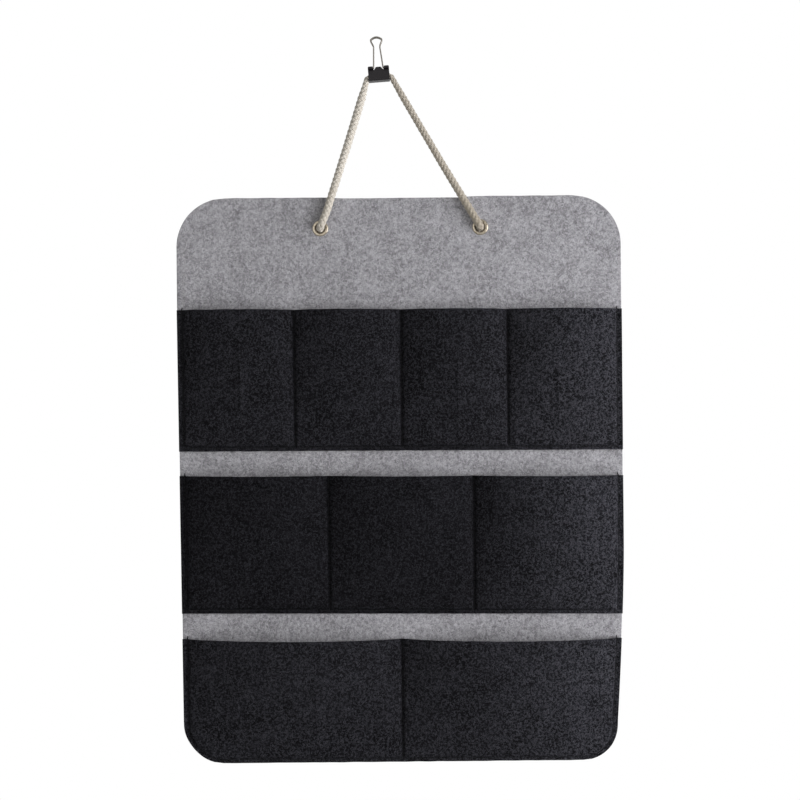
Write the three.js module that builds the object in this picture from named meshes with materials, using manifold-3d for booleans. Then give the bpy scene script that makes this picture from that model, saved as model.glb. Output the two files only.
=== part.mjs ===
// Hanging pocket organizer: a felt panel with nine sewn pockets, hung by a cotton rope from a
// binder clip. Millimetres, +Z up, front towards -Y, origin at the point that the nail holds:
// the inner top of the clip's two wire handles.
import * as THREE from 'three';
import { mergeVertices } from 'three/addons/utils/BufferGeometryUtils.js';
import Module from 'manifold-3d';

// Back panel
const panelWidth = 400;
const panelHeight = 508;
const panelFelt = 3;
const topCornerRadius = 44;
const bottomCornerRadius = 33;
const panelDrop = 142; // from the hang point down to the panel's top edge
const panelShift = 18.7; // the panel's centre line lies this far right of the hang point
const panelBack = 6; // the panel's rear face, behind the clip's middle plane
const cornerSegments = 10;

// Pocket strips, from the top down
const pocketFelt = 2.5;
const topMouthDrop = 101;
const topStripHeight = 127;
const middleStripHeight = 124;
const stripGap = 23;
const topDividers = [-95, 1.5, 97]; // from the panel's centre line
const middleDividers = [-65.5, 65.5];
const bottomDividers = [0];
const topBow = 10; // how far each mouth stands off the panel
const middleBow = 12;
const bottomBow = 15;
const pocketColumns = 8;
const pocketRows = 7;
const cornerRows = 9;

// Sewing
const threadWidth = 0.9;
const threadHeight = 0.5;
const sideSeamInset = 4.5;
const bottomSeamInset = 3;
const seamTurn = 3; // the radius at which an edge seam turns a square corner
const seamFlat = 1.2; // felt pressed flat on each side of a stitch line
const seamEnd = 1.5; // a seam stops this far below the mouth
const seamClearance = 0.3;

// Eyelets
const eyeletSpacing = 144;
const eyeletShift = 1.6; // the pair lies this far right of the panel's centre line
const eyeletDrop = 28;
const eyeletBore = 8;
const eyeletWall = 0.4;
const flangeDiameter = 14.5;
const flangeHeight = 1;
const washerDiameter = 14;
const washerThickness = 0.6;
const curlWidth = 1;
const curlHeight = 0.5;
const flangeSteps = 6;
const curlSteps = 4;
const eyeletSides = 28;

// Rope
const ropeDiameter = 6.2;
const ropeSides = 10;
const knotWidth = 19;
const knotDepth = 14;
const knotHeight = 17;
const knotSides = 16;
const knotRings = 12;
const tailLength = 16;

// Binder clip
const clipTilt = 4; // degrees that it hangs off the level, its right end up
const clipWidth = 19;
const clipSheet = 0.5;
const spineDepth = 11.8;
const jawHeight = 12.1; // from the spine's underside up to the handles' axes
const lipGap = 0.3; // between the two rolled lips
const notchHalfWidth = 5.5; // the lips are cut away here for the handles' legs
const tongueHalfWidth = 2;
const tongueHeight = 1.6;
const lipSegments = 12;
const wireDiameter = 1.2;
const wireClearance = 0.3;
const wireSides = 8;
const handleRise = 27.4; // from the handle's axis up to the wire at the top of the loop
const footReach = 8.3;
const legHalfGap = 4.25;
const neckHalfGap = 2.75;
const neckHeight = 19.2;
const headHalfWidth = 5.3;
const headHeight = 25;
const wireBend = 1; // a bend takes up this much of the wire on each side of its corner
const bendSteps = 2;
const archSteps = 4;

const fitClearance = 0.3;

// Places worked out from the sizes above
const halfPanel = panelWidth / 2;
const panelTop = -panelDrop;
const panelBottom = panelTop - panelHeight;
const panelFront = panelBack - panelFelt;
const stripFront = panelFront - pocketFelt;
const topMouth = panelTop - topMouthDrop;
const middleMouth = topMouth - topStripHeight - stripGap;
const bottomMouth = middleMouth - middleStripHeight - stripGap;
const bottomStripHeight = bottomMouth - panelBottom;
const eyeletZ = panelTop - eyeletDrop;
const eyeletMiddle = panelShift + eyeletShift;
const eyeletXs = { left: eyeletMiddle - eyeletSpacing / 2, right: eyeletMiddle + eyeletSpacing / 2 };
const washerBack = panelBack + washerThickness;
const flangeFront = panelFront - flangeHeight;
const ropeRadius = ropeDiameter / 2;
const handleAxisZ = wireDiameter / 2 - handleRise;
const spineZ = handleAxisZ - jawHeight;
const boreRadius = wireDiameter / 2 + wireClearance;
const lipRadius = boreRadius + clipSheet;
const handleAxisY = lipGap / 2 + lipRadius;

const materials = {
  greyFelt: surface('#a3a2a8', 1, 0),
  charcoalFelt: surface('#2b2b31', 1, 0),
  thread: surface('#1b1b20', 0.8, 0),
  brass: surface('#c9b27c', 0.3, 1),
  cotton: surface('#d9d2c0', 0.95, 0),
  blackSteel: surface('#141416', 0.35, 0.2),
  nickelWire: surface('#b9b7ae', 0.3, 1),
};

const wasm = await Module();
wasm.setup();

const group = new THREE.Group();
const panelGroup = new THREE.Group();
panelGroup.position.x = panelShift;
const clipGroup = new THREE.Group();
clipGroup.rotation.y = -THREE.MathUtils.degToRad(clipTilt);
group.add(panelGroup, clipGroup);

function surface(color, roughness, metalness) {
  return new THREE.MeshStandardMaterial({ color, roughness, metalness });
}

function addPiece(parent, name, geometry, material) {
  const mesh = new THREE.Mesh(geometry, material);
  mesh.name = name;
  parent.add(mesh);
}

// Solids for cutting and joining

function toSolid(geometry) {
  const bare = geometry.clone();
  bare.deleteAttribute('normal');
  bare.deleteAttribute('uv');
  const merged = mergeVertices(bare, 1e-3);
  return new wasm.Manifold(
    new wasm.Mesh({
      numProp: 3,
      vertProperties: new Float32Array(merged.attributes.position.array),
      triVerts: new Uint32Array(merged.index.array),
    }),
  );
}

function toGeometry(solid) {
  const mesh = solid.getMesh();
  const geometry = new THREE.BufferGeometry();
  geometry.setAttribute('position', new THREE.BufferAttribute(mesh.vertProperties, 3));
  geometry.setIndex(new THREE.BufferAttribute(mesh.triVerts, 1));
  geometry.computeVertexNormals();
  return geometry;
}

function joined(...geometries) {
  return geometries.map(toSolid).reduce((whole, next) => whole.add(next));
}

// A flat shape drawn in X and Z, thickened forwards from the plane y = rear
function plate(shape, rear, thickness) {
  const geometry = new THREE.ExtrudeGeometry(shape, {
    depth: thickness,
    bevelEnabled: false,
    curveSegments: cornerSegments,
  });
  const turn = new THREE.Matrix4().makeBasis(
    new THREE.Vector3(1, 0, 0),
    new THREE.Vector3(0, 0, 1),
    new THREE.Vector3(0, -1, 0),
  );
  return geometry.applyMatrix4(turn).translate(0, rear, 0);
}

// A shape drawn in Y and Z, extruded along X between two places
function bar(shape, from, to) {
  const geometry = new THREE.ExtrudeGeometry(shape, {
    depth: to - from,
    bevelEnabled: false,
    curveSegments: lipSegments,
  });
  const turn = new THREE.Matrix4().makeBasis(
    new THREE.Vector3(0, 1, 0),
    new THREE.Vector3(0, 0, 1),
    new THREE.Vector3(1, 0, 0),
  );
  return geometry.applyMatrix4(turn).translate(from, 0, 0);
}

function polygon(points) {
  return new THREE.Shape(points.map(([a, b]) => new THREE.Vector2(a, b)));
}

function rectangle(x0, z0, x1, z1) {
  return polygon([
    [x0, z0],
    [x1, z0],
    [x1, z1],
    [x0, z1],
  ]);
}

function disc(x, z, radius) {
  return new THREE.Shape().absarc(x, z, radius, 0, Math.PI * 2, false);
}

// A route whose rings stand at its own points, so that tight bends get more of them
class Route extends THREE.CatmullRomCurve3 {
  constructor(points) {
    super(points, false, 'centripetal');
  }

  getUtoTmapping(u) {
    return u;
  }
}

function tube(points, diameter, sides) {
  const corners = Array.from({ length: sides }, (_, i) => {
    const turn = (i * 2 * Math.PI) / sides;
    return [(Math.cos(turn) * diameter) / 2, (Math.sin(turn) * diameter) / 2];
  });
  return new THREE.ExtrudeGeometry(polygon(corners), {
    steps: points.length - 1,
    extrudePath: new Route(points),
  });
}

// Back panel: one sheet of light grey felt with a punched hole for each eyelet

function addPanel() {
  const shape = new THREE.Shape();
  const right = halfPanel;
  shape.moveTo(-right, panelBottom + bottomCornerRadius);
  shape.absarc(
    -right + bottomCornerRadius, panelBottom + bottomCornerRadius, bottomCornerRadius,
    Math.PI, 1.5 * Math.PI, false,
  );
  shape.absarc(
    right - bottomCornerRadius, panelBottom + bottomCornerRadius, bottomCornerRadius,
    -Math.PI / 2, 0, false,
  );
  shape.absarc(
    right - topCornerRadius, panelTop - topCornerRadius, topCornerRadius,
    0, Math.PI / 2, false,
  );
  shape.absarc(
    -right + topCornerRadius, panelTop - topCornerRadius, topCornerRadius,
    Math.PI / 2, Math.PI, false,
  );
  const holeRadius = eyeletBore / 2 + eyeletWall + fitClearance;
  for (const x of Object.values(eyeletXs)) {
    shape.holes.push(disc(x - panelShift, eyeletZ, holeRadius));
  }
  addPiece(panelGroup, 'back_panel', plate(shape, panelBack, panelFelt), materials.greyFelt);
}

// Pocket strips: charcoal felt, sewn round both sides and the bottom and between the pockets,
// each pocket bowed off the panel towards its mouth

function addStrip(name, mouth, height, dividers, bow, corner) {
  const strip = stripSolid(mouth, height, dividers, bow, corner);
  addPiece(panelGroup, `${name}_pocket_strip`, strip, materials.charcoalFelt);
  addSeams(name, mouth, height, dividers, corner);
}

// Half the strip's width at a height above its lower edge, drawn in by an inset
function halfWidthAt(h, corner, sideInset, bottomInset) {
  const radius = Math.max(corner - sideInset, 0);
  const below = bottomInset + radius - h;
  const straight = halfPanel - sideInset;
  return below <= 0 ? straight : straight - radius + Math.sqrt(Math.max(radius ** 2 - below ** 2, 0));
}

function stripSolid(mouth, height, dividers, bow, corner) {
  const sideFlat = sideSeamInset + seamFlat;
  const bottomFlat = bottomSeamInset + seamFlat;
  const rows = [0, bottomFlat];
  for (let i = 1; i <= cornerRows && corner > 0; i += 1) {
    rows.push(corner * (1 - Math.cos((i * Math.PI) / 2 / cornerRows)));
  }
  const start = Math.max(...rows);
  for (let i = 1; i <= pocketRows; i += 1) {
    rows.push(start + ((height - start) * i) / pocketRows);
  }
  rows.sort((a, b) => a - b);
  const points = rows.map((h) => {
    const outer = halfWidthAt(h, corner, 0, 0);
    const inner = Math.min(halfWidthAt(h, corner, sideFlat, bottomFlat), outer - seamFlat);
    const up = Math.max((h - bottomFlat) / (height - bottomFlat), 0);
    const rise = bow * Math.sin((up * Math.PI) / 2);
    const row = [{ x: -outer, lift: 0 }];
    const bounds = [-inner, ...dividers.flatMap((d) => [d - seamFlat, d + seamFlat]), inner];
    for (let i = 0; i < bounds.length; i += 2) {
      for (let k = 0; k <= pocketColumns; k += 1) {
        const across = k / pocketColumns;
        const x = bounds[i] + (bounds[i + 1] - bounds[i]) * across;
        const edge = k === 0 || k === pocketColumns;
        row.push({ x, lift: edge ? 0 : rise * Math.sin(across * Math.PI) });
      }
    }
    row.push({ x: outer, lift: 0 });
    return row.map((p) => ({ ...p, z: mouth - height + h }));
  });
  return sheet(points, panelFront, pocketFelt);
}

// A closed sheet over a grid of points, lifted forwards off the plane y = rear
function sheet(rows, rear, thickness) {
  const across = rows[0].length;
  const layer = rows.length * across;
  const flat = rows.flat();
  const positions = [
    ...flat.flatMap((p) => [p.x, rear - p.lift, p.z]),
    ...flat.flatMap((p) => [p.x, rear - p.lift - thickness, p.z]),
  ];
  const faces = [];
  const quad = (a, b, c, d) => faces.push(a, b, c, a, c, d);
  for (let j = 0; j + 1 < rows.length; j += 1) {
    for (let i = 0; i + 1 < across; i += 1) {
      const a = j * across + i;
      quad(a, a + across, a + across + 1, a + 1);
      quad(layer + a, layer + a + 1, layer + a + across + 1, layer + a + across);
    }
    const left = j * across;
    const right = left + across - 1;
    quad(left, layer + left, layer + left + across, left + across);
    quad(right, right + across, layer + right + across, layer + right);
  }
  for (let i = 0; i + 1 < across; i += 1) {
    const top = layer - across + i;
    quad(i, i + 1, layer + i + 1, layer + i);
    quad(top, layer + top, layer + top + 1, top + 1);
  }
  const geometry = new THREE.BufferGeometry();
  geometry.setAttribute('position', new THREE.Float32BufferAttribute(positions, 3));
  geometry.setIndex(faces);
  geometry.computeVertexNormals();
  return geometry;
}

// Sewing: each seam has its needle thread on the pocket felt and its bobbin thread on the
// panel's rear face

function addSeams(name, mouth, height, dividers, corner) {
  const top = mouth - seamEnd;
  const bottom = mouth - height + bottomSeamInset;
  const turn = Math.max(corner - sideSeamInset, seamTurn);
  addSeam(`${name}_edge_seam`, edgeSeamShape(halfPanel - sideSeamInset, top, bottom, turn));
  dividers.forEach((x, i) => {
    const half = threadWidth / 2;
    const foot = bottom + half + seamClearance;
    addSeam(`${name}_divider_seam_${i + 1}`, rectangle(x - half, foot, x + half, top));
  });
}

function addSeam(name, shape) {
  addPiece(panelGroup, name, plate(shape, stripFront, threadHeight), materials.thread);
  const bobbin = plate(shape, panelBack + threadHeight, threadHeight);
  addPiece(panelGroup, `${name}_bobbin`, bobbin, materials.thread);
}

// The outline of a U-shaped line of stitches with rounded lower corners
function edgeSeamShape(half, top, bottom, turn) {
  const outer = turn + threadWidth / 2;
  const inner = turn - threadWidth / 2;
  const centre = half - turn;
  const shape = new THREE.Shape();
  shape.moveTo(-centre - outer, top);
  shape.absarc(-centre, bottom + turn, outer, Math.PI, 1.5 * Math.PI, false);
  shape.absarc(centre, bottom + turn, outer, -Math.PI / 2, 0, false);
  shape.lineTo(centre + outer, top);
  shape.lineTo(centre + inner, top);
  shape.absarc(centre, bottom + turn, inner, 0, -Math.PI / 2, true);
  shape.absarc(-centre, bottom + turn, inner, 1.5 * Math.PI, Math.PI, true);
  shape.lineTo(-centre - inner, top);
  return shape;
}

// Eyelets: a flanged brass tube pressed through the felt and curled over a washer behind

function turned(points) {
  const profile = [...points, points[0]].map(([r, y]) => new THREE.Vector2(r, y));
  return new THREE.LatheGeometry(profile, eyeletSides);
}

// Half the section of a rounded rim between two radii, rising from the plane y = base
function rim(from, to, base, rise, steps) {
  return Array.from({ length: steps + 1 }, (_, i) => {
    const turn = (i * Math.PI) / steps;
    return [(from + to) / 2 + ((from - to) / 2) * Math.cos(turn), base + rise * Math.sin(turn)];
  });
}

function addEyelet(side) {
  const bore = eyeletBore / 2;
  const barrel = bore + eyeletWall;
  const eyelet = turned([
    ...rim(bore, flangeDiameter / 2, panelFront, -flangeHeight, flangeSteps),
    [barrel, panelFront],
    [barrel, washerBack],
    ...rim(barrel + curlWidth, bore, washerBack, curlHeight, curlSteps),
  ]);
  const hole = barrel + fitClearance;
  const edge = washerDiameter / 2;
  const washer = turned([
    [hole, panelBack],
    [edge, panelBack],
    [edge, panelBack + washerThickness / 2],
    [edge - washerThickness / 2, washerBack],
    [hole, washerBack],
  ]);
  for (const [name, geometry] of [[`eyelet_${side}`, eyelet], [`eyelet_${side}_washer`, washer]]) {
    addPiece(group, name, geometry.translate(eyeletXs[side], 0, eyeletZ), materials.brass);
  }
}

// Rope: up from the left eyelet, through the clip's tunnel and down to the right eyelet

function addRope() {
  const route = [
    [-51.7, -1.4, -170], [-47.1, -1.2, -155.4], [-42.5, -1.1, -140.8], [-37.9, -0.9, -126.1],
    [-33.3, -0.8, -111.5], [-28.7, -0.6, -96.9], [-24.1, -0.5, -82.3], [-19.5, -0.3, -67.6],
    [-14.9, -0.2, -53], [-11.2, 0, -41.3], [-10.27, 0, -38.4], [-9.75, 0, -37.32],
    [-8.93, 0, -36.46], [-7.9, 0, -35.87], [-6.73, 0, -35.61], [-2.14, 0, -35.29],
    [2.44, 0, -34.96], [7.03, 0, -34.64], [11.62, 0, -34.32], [12.73, 0, -34.4],
    [13.78, 0, -34.78], [14.68, 0, -35.44], [15.37, 0, -36.32], [16.9, 0, -38.9],
    [23.9, -0.2, -51.2], [32.5, -0.3, -66], [41, -0.5, -80.9], [49.6, -0.6, -95.7],
    [58.1, -0.8, -110.6], [66.7, -0.9, -125.4], [75.2, -1.1, -140.3], [83.8, -1.2, -155.2],
    [92.3, -1.4, -170],
  ].map((p) => new THREE.Vector3(...p));
  const balls = [route[0], route.at(-1)].map((p) =>
    new THREE.SphereGeometry(ropeRadius, ropeSides, ropeSides).translate(...p),
  );
  const rope = joined(tube(route, ropeDiameter, ropeSides), ...balls);
  addPiece(group, 'hanging_rope', toGeometry(rope), materials.cotton);
}

// Each end of the rope goes through its eyelet and is knotted behind it
function addKnot(side) {
  const x = eyeletXs[side];
  const start = flangeFront;
  const knotFront = washerBack + curlHeight + fitClearance;
  const knotMiddle = knotFront + knotDepth / 2;
  const neck = new THREE.CylinderGeometry(ropeRadius, ropeRadius, knotMiddle - start, ropeSides);
  neck.translate(x, (start + knotMiddle) / 2, eyeletZ);
  const knot = new THREE.SphereGeometry(knotWidth / 2, knotSides, knotRings);
  knot.scale(1, knotDepth / knotWidth, knotHeight / knotWidth).translate(x, knotMiddle, eyeletZ);
  const tailDrop = knotHeight / 2 + tailLength;
  const tail = new THREE.CylinderGeometry(ropeRadius, ropeRadius, tailDrop, ropeSides);
  tail.rotateX(Math.PI / 2).translate(x, knotMiddle, eyeletZ - tailDrop / 2);
  const end = joined(knot, neck, tail);
  addPiece(group, `rope_knot_${side}`, toGeometry(end), materials.cotton);
}

// Binder clip body: spring steel bent into a spine and two jaws, each lip rolled outwards into
// a bore for its handle's feet

function addClipBody() {
  const half = clipWidth / 2;
  const halfSpine = spineDepth / 2;
  const offset = halfSpine - handleAxisY;
  const lean = Math.atan2(offset, jawHeight) + Math.asin(boreRadius / Math.hypot(offset, jawHeight));
  let body = toSolid(bar(rectangle(-halfSpine, spineZ, halfSpine, spineZ + clipSheet), -half, half));
  for (const side of [-1, 1]) {
    const place = (out, up) => [side * (handleAxisY + out), handleAxisZ + up];
    const [cos, sin] = [Math.cos(lean), Math.sin(lean)];
    const down = (r) => side * (halfSpine - (r - boreRadius) / cos);
    const outerTop = place(-boreRadius * cos, -boreRadius * sin);
    const innerTop = place(-lipRadius * cos, -lipRadius * sin);
    const jaw = polygon([outerTop, innerTop, [down(lipRadius), spineZ], [down(boreRadius), spineZ]]);
    const lip = disc(...place(0, 0), lipRadius);
    lip.holes.push(disc(...place(0, 0), boreRadius));
    const rise = (r) => place(-r * cos - tongueHeight * sin, -r * sin + tongueHeight * cos);
    const tongue = polygon([outerTop, innerTop, rise(lipRadius), rise(boreRadius)]);
    const notch = disc(...place(0, 0), lipRadius + lipGap / 2);
    const cut = toSolid(bar(notch, -notchHalfWidth, notchHalfWidth));
    const edge = toSolid(bar(jaw, -half, half)).add(toSolid(bar(lip, -half, half))).subtract(cut);
    const stub = toSolid(bar(jaw, -tongueHalfWidth, tongueHalfWidth));
    body = body.add(edge).add(stub);
    body = body.add(toSolid(bar(tongue, -tongueHalfWidth, tongueHalfWidth)));
  }
  addPiece(clipGroup, 'clip_body', toGeometry(body), materials.blackSteel);
}

// Wire handle: two feet in the rolled lip, legs that close to a neck, and a flared head under a
// low arch

function addHandle(name, side) {
  const at = (x, up) => new THREE.Vector3(x, side * handleAxisY, handleAxisZ + up);
  const stem = (hand) => [
    at(hand * footReach, 0),
    at(hand * legHalfGap, 0),
    at(hand * neckHalfGap, neckHeight),
  ];
  const arch = new THREE.QuadraticBezierCurve3(
    at(headHalfWidth, headHeight), at(0, 2 * handleRise - headHeight), at(-headHalfWidth, headHeight),
  );
  const route = bent([...stem(1), ...arch.getPoints(archSteps), ...stem(-1).reverse()]);
  const handle = tube(route, wireDiameter, wireSides);
  addPiece(clipGroup, `clip_handle_${name}`, handle, materials.nickelWire);
}

// A line of corners with each inner corner rounded
function bent(corners) {
  const inner = corners.slice(1, -1).flatMap((corner, i) => {
    const [before, after] = [corners[i], corners[i + 2]].map((end) =>
      corner.clone().lerp(end, wireBend / corner.distanceTo(end)),
    );
    return new THREE.QuadraticBezierCurve3(before, corner, after).getPoints(bendSteps);
  });
  return [corners[0], ...inner, corners.at(-1)];
}

// The whole part

addPanel();
addStrip('top', topMouth, topStripHeight, topDividers, topBow, 0);
addStrip('middle', middleMouth, middleStripHeight, middleDividers, middleBow, 0);
addStrip('bottom', bottomMouth, bottomStripHeight, bottomDividers, bottomBow, bottomCornerRadius);
for (const side of ['left', 'right']) {
  addEyelet(side);
  addKnot(side);
}
addRope();
addClipBody();
addHandle('front', -1);
addHandle('rear', 1);

export default group;
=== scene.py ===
import math
import random
from contextlib import contextmanager

import bmesh
import bpy
import numpy as np
from mathutils import Matrix, Vector


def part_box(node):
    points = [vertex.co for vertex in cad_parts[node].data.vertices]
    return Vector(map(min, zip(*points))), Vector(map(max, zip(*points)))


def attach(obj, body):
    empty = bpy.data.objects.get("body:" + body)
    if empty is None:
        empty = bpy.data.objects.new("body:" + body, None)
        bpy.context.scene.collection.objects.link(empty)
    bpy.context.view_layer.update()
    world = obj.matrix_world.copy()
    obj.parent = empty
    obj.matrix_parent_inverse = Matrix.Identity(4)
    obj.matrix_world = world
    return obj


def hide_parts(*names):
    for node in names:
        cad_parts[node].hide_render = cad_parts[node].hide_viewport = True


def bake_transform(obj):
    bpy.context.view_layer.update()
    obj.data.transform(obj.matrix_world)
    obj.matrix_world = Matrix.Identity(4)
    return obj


# Hanging pocket organizer: the looks of a felt panel with nine sewn pockets, hung by a braided
# cotton rope from a binder clip. Metres, +Z up, front towards -Y.

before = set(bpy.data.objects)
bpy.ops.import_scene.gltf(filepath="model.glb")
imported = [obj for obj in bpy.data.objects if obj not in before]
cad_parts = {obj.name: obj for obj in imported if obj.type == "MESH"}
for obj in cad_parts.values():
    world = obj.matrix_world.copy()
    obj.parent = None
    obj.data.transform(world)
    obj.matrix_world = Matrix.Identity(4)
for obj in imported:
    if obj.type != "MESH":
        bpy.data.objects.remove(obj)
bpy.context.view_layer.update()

MM = 0.001
SIDES = ("left", "right")

# The camera stands level in front of the panel's middle
CAMERA_X = 18.7 * MM
CAMERA_Z = -325 * MM
CAMERA_AWAY = 1150 * MM
CAMERA_LENS = 57.5  # millimetres, on a sensor 36 wide
CAMERA_ROLL = 0.5  # degrees

# Places and sizes that the CAD model gives
panel_low, panel_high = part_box("back_panel")
PANEL_MIDDLE = (panel_low.x + panel_high.x) / 2
HALF_PANEL = (panel_high.x - panel_low.x) / 2
PANEL_FRONT = panel_low.y
PANEL_REAR = panel_high.y
EYELETS = {side: sum(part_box(f"eyelet_{side}"), Vector()) / 2 for side in SIDES}

# Felt
TOP_CORNER = 44 * MM
BOTTOM_CORNER = 33 * MM
POCKET_FELT = 2.5 * MM
FELT_GAP = 0.05 * MM
STAND_OFF = 0.3 * MM  # so far off the panel that a strip's unevenness never sinks in
PAINTED_LIGHT_SPAN = (60 * MM, 220 * MM)  # painted light: between these the charcoal felt is painted paler to the right
CUT_EDGE = 0.6 * MM  # radius of a cut edge
CUT_WAVE = 0.12 * MM  # how unevenly an edge is cut
PANEL_STEP = 3.2 * MM
STRIP_STEP = 2.6 * MM
CORNER_STEP = 1.2 * MM
SWAY = 0.35 * MM  # the panel's slow unevenness
SWAY_LENGTH = 260 * MM
SWAY_STARTS = (9 * MM, 32 * MM)  # away from an eyelet
POCKET_WAVE = 0.4 * MM
WAVE_LENGTH = 70 * MM
WAVES = 12  # how many waves an unevenness is made of
# The load draws each side in: from what height down, over what drop, how far, the line's power, and
# how far in its foot curls
LEFT_DRAW = (-235 * MM, 360 * MM, 3.2 * MM, 1.0, 3.4 * MM)
RIGHT_DRAW = (-455 * MM, 140 * MM, 5.5 * MM, 1.5, -2.6 * MM)
FOOT_SPAN = (-650 * MM, -612 * MM)
TOP_SAG = 1.0 * MM  # how far the panel's top edge hangs between the eyelets
SAG_EASE = 24 * MM
SAG_REACH = 60 * MM
FULLNESS = 2.2  # the power that bends a pocket's section
CREASE_EASE = 25 * MM
CREASE_FORMS = ((0.9 * MM, 7 * MM), (0.5 * MM, 1.4 * MM))  # height and reach, soft and sharp

# Seams
SIDE_INSET = 4.5 * MM
SEAM_HALF = HALF_PANEL - SIDE_INSET
BOTTOM_INSET = 3 * MM
SEAM_TURN = 3 * MM
SEAM_END = 1.5 * MM  # a divider seam ends this far below the mouth
SEAM_OVER = 2.8 * MM  # an edge seam ends this far above it
GROOVE_DEPTH = 1.3 * MM
GROOVE_HALF = 1.1 * MM
HEM_REACH = 4.2 * MM  # the pressed edge outside a seam rises over this
PUFF = 1.0 * MM  # how far the felt springs up right beside a seam
PUFF_SPAN = (0.4 * MM, 2.3 * MM)
REAR_GROOVE = 0.6 * MM
LIFT_OFF = 4.5 * MM  # a pocket leaves its seam over this distance
STITCH_PITCH = 3.6 * MM
STITCH_LENGTH = 2.9 * MM
STITCH_BOW = 0.55 * MM
STITCH_SINK = 0.2 * MM
THREAD_RADIUS = 0.4 * MM
STITCH_TAPER = THREAD_RADIUS * np.array([0.75, 0.95, 1, 1, 1, 0.95, 0.75])

# Rope. Two heights or places tell where a change starts and ends.
ROPE_DIAMETER = 6.2 * MM
BRAID_LAY = 18 * MM
BRAID_RADIUS = 1.95 * MM
BRAID_WEAVE = 0.4 * MM
STRANDS = 4  # that turn each way
STRAND_WIDTH = 2.5 * MM
STRAND_DEPTH = 1.5 * MM
STRAND_SIDES = 10
STRAND_SHADE = 0.28  # painted shade: how much darker a strand is where it dives under
CORE_RADIUS = 1.6 * MM
# Painted shade on the core, which lies in the shade of the strands
CORE_SHADE = 0.7
ROPE_STEP = 0.6 * MM
ROPE_SWELL = 1.18  # the rope's fullness near the eyelets
ROPE_SLACK = {"left": 1.24, "right": 1.04}  # and below the clip
SLACK_SPAN = (-160 * MM, -60 * MM)
ROPE_PINCH = 0.88  # and where the clip squashes it
PINCH_SPAN = (-56 * MM, -39 * MM)
ROPE_LEG_SHADE = 0.48  # painted shade that darkens its right leg
LEG_SHADE_SPAN = (-4 * MM, 18 * MM)
EYELET_SOIL = 0.2
EYELET_SOIL_SPAN = (110 * MM, 170 * MM)  # below the hang point
FRAY_YARNS = 70
YARN_RADIUS = 0.16 * MM

random.seed(7)


# Material helpers

materials = {}  # by slot


def fitted(thing, **settings):
    """The thing itself, after its settings are made."""
    for name, value in settings.items():
        setattr(thing, name, value)
    return thing


class Shader:
    """The nodes of a new material, or of the world. A node's inputs are named with _ for a space."""

    def __init__(self, name, world=None):
        self.name = name
        self.owner = world or bpy.data.materials.new(name)
        self.owner.use_nodes = True
        self.tree = self.owner.node_tree
        self.surface = self.tree.nodes["Background" if world else "Principled BSDF"]
        self.coordinates = self.node("ShaderNodeTexCoord")

    def feed(self, socket, value):
        """Links a socket to another node's output, or sets its own value."""
        if isinstance(value, bpy.types.NodeSocket):
            self.tree.links.new(value, socket)
        else:
            socket.default_value = value

    def set(self, node, **inputs):
        for name, value in inputs.items():
            self.feed(node.inputs[name.replace("_", " ")], value)

    def node(self, kind, **inputs):
        made = self.tree.nodes.new(kind)
        self.set(made, **inputs)
        return made

    def finish(self, colour, roughness, bumps, specular=0.5, **inputs):
        """Finishes a slot's material. bumps is their height, their strength and how far they reach."""
        bump = self.node("ShaderNodeBump", **dict(zip(("Height", "Strength", "Distance"), bumps)))
        self.set(
            self.surface, Base_Color=colour, Roughness=roughness, Specular_IOR_Level=specular,
            Normal=bump.outputs["Normal"], **inputs,
        )
        materials[self.name] = self.owner

    def attribute(self, name):
        return fitted(self.node("ShaderNodeAttribute"), attribute_name=name).outputs["Fac"]

    def place(self, source="Object", scale=(1, 1, 1), offset=(0, 0, 0)):
        start = self.coordinates.outputs[source]
        made = self.node("ShaderNodeMapping", Vector=start, Scale=scale, Location=offset)
        return made.outputs["Vector"]

    def noise(self, scale, detail=2.0, roughness=0.5, distortion=0.0, vector=None):
        """Smooth noise from 0 to 1, with about scale waves in a metre."""
        made = self.node(
            "ShaderNodeTexNoise", Vector=vector or self.coordinates.outputs["Object"],
            Scale=scale, Detail=detail, Roughness=roughness, Distortion=distortion,
        )
        return made.outputs["Fac"]

    def span(self, value, low, high, to_low=0.0, to_high=1.0):
        """value between low and high, eased to the range from to_low to to_high."""
        made = self.node(
            "ShaderNodeMapRange", Value=value, From_Min=low, From_Max=high, To_Min=to_low, To_Max=to_high
        )
        return fitted(made, interpolation_type="SMOOTHSTEP").outputs["Result"]

    def math(self, operation, a, b=0.0):
        made = fitted(self.node("ShaderNodeMath"), operation=operation)
        for socket, value in zip(made.inputs, (a, b)):
            self.feed(socket, value)
        return made.outputs["Value"]

    def times(self, a, b):
        return self.math("MULTIPLY", a, b)

    def total(self, first, *others):
        """The sum of values, each given with its weight."""
        total = self.times(*first)
        for other in others:
            total = self.math("ADD", total, self.times(*other))
        return total

    def fibres(self, scale, width, distortion, offset, kept):
        """Short curly lines, 1 along each and 0 between them. kept is the share that stays."""
        field = self.noise(scale, 1.0, 0.5, distortion, self.place(offset=(offset, -offset, offset)))
        away = self.math("ABSOLUTE", self.math("SUBTRACT", field, 0.5))
        lines = self.span(away, width * 0.3, width, 1.0, 0.0)
        gaps = self.noise(scale * 0.8, 0.0, 0.5, 0.0, self.place(offset=(-offset, offset, offset)))
        level = 0.5 + 0.2 * (0.5 - kept)
        return self.times(lines, self.span(gaps, level - 0.04, level + 0.04))

    def mix(self, factor, a, b):
        made = fitted(self.node("ShaderNodeMix"), data_type="RGBA")
        for name, value in (("Factor", factor), ("A", a), ("B", b)):
            self.feed(next(s for s in made.inputs if s.name == name and s.enabled), value)
        return next(s for s in made.outputs if s.enabled)


def srgb(red, green, blue):
    """A colour given as on a screen, 0 to 255, in linear light and opaque."""
    parts = [c / 255 for c in (red, green, blue)]
    return (*[c / 12.92 if c <= 0.04045 else ((c + 0.055) / 1.055) ** 2.4 for c in parts], 1.0)


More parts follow.
